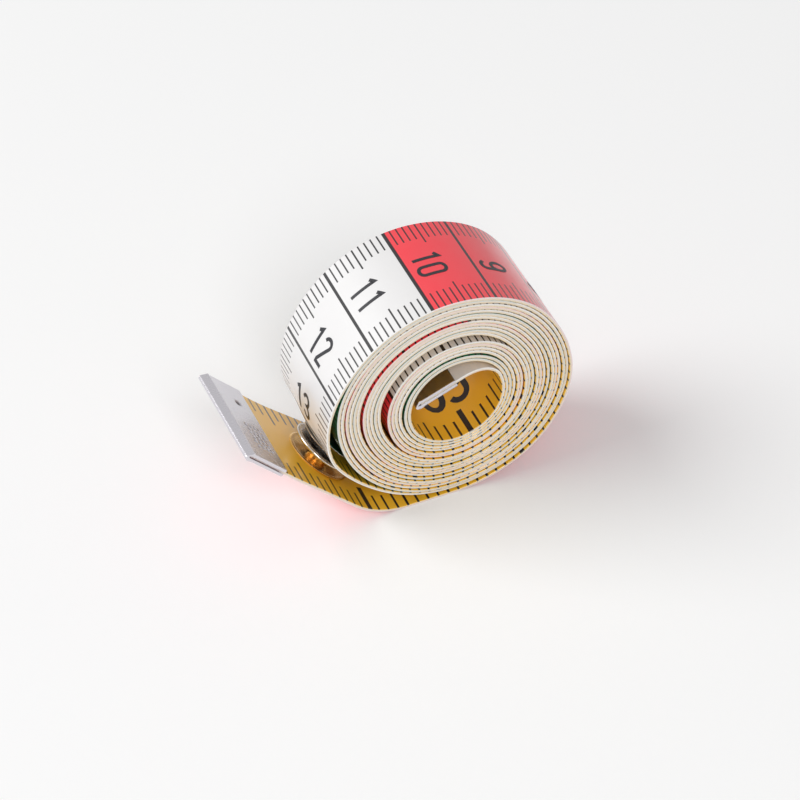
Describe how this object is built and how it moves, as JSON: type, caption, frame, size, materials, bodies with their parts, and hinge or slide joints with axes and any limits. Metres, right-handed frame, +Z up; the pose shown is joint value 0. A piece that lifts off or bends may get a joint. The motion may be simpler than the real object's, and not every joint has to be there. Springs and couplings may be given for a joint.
{
  "type": "cloth tape measure",
  "caption": "Tailor's tape measure rolled on itself and standing on its rim, with folded metal ends and a press stud that holds the roll shut.",
  "frame": {"origin": "on the surface that the roll stands on, in the flat run of the outer turn, in the middle of the tape's width", "axes": "+Y along the axis of the roll, +Z up, and the lifted end with its clip towards -X"},
  "size_m": [0.0497, 0.0184, 0.0368],
  "materials": {
    "tape": "satin soft PVC coating over woven glass fibre, printed on both faces",
    "clip": "satin rolled sheet",
    "stud": "polished nickel plate",
    "spring": "drawn spring wire"
  },
  "bodies": {
    "roll": {"wound_tape": "tape", "stud_socket": "stud", "socket_spring": "spring", "socket_rivet": "stud"},
    "tail_a": {"tail_tape_1": "tape"},
    "tail_b": {"tail_tape_2": "tape"},
    "tail_c": {"tail_tape_3": "tape", "stud": "stud", "stud_rivet": "stud"},
    "tail_tip": {"tail_tape_4": "tape", "outer_end_clip": "clip"},
    "core_a": {"core_tape_1": "tape"},
    "core_tip": {"core_tape_2": "tape", "inner_end_clip": "clip"}
  },
  "joints": [
    {"name": "tail_bend_1", "type": "hinge", "parent": "roll", "child": "tail_a", "pos_m": [-0.0087, 0, 0.00025], "axis": [0, 1, 0], "range_deg": [-13.3, 2], "stiffness_Nm_per_rad": 0.012},
    {"name": "tail_bend_2", "type": "hinge", "parent": "tail_a", "child": "tail_b", "pos_m": [-0.01109, 0, 0.00088], "axis": [0, 1, 0], "range_deg": [-13.3, 2], "stiffness_Nm_per_rad": 0.012},
    {"name": "tail_bend_3", "type": "hinge", "parent": "tail_b", "child": "tail_c", "pos_m": [-0.01323, 0, 0.0021], "axis": [0, 1, 0], "range_deg": [-13.3, 2], "stiffness_Nm_per_rad": 0.012},
    {"name": "tip_flex", "type": "hinge", "parent": "tail_c", "child": "tail_tip", "pos_m": [-0.02295, 0, 0.01165], "axis": [0, 1, 0], "range_deg": [-7, 50], "stiffness_Nm_per_rad": 0.0055},
    {"name": "core_bend_1", "type": "hinge", "parent": "roll", "child": "core_a", "pos_m": [0.00589, 0, 0.02234], "axis": [0, 1, 0], "range_deg": [-25, 2], "stiffness_Nm_per_rad": 0.008},
    {"name": "core_bend_2", "type": "hinge", "parent": "core_a", "child": "core_tip", "pos_m": [0.00231, 0, 0.02266], "axis": [0, 1, 0], "range_deg": [-25, 2], "stiffness_Nm_per_rad": 0.008}
  ],
  "couplings": [
    {"joint": "tail_bend_1", "follows": "tail_bend_3", "ratio": 1},
    {"joint": "tail_bend_2", "follows": "tail_bend_3", "ratio": 1},
    {"joint": "core_bend_2", "follows": "core_bend_1", "ratio": 1}
  ]
}
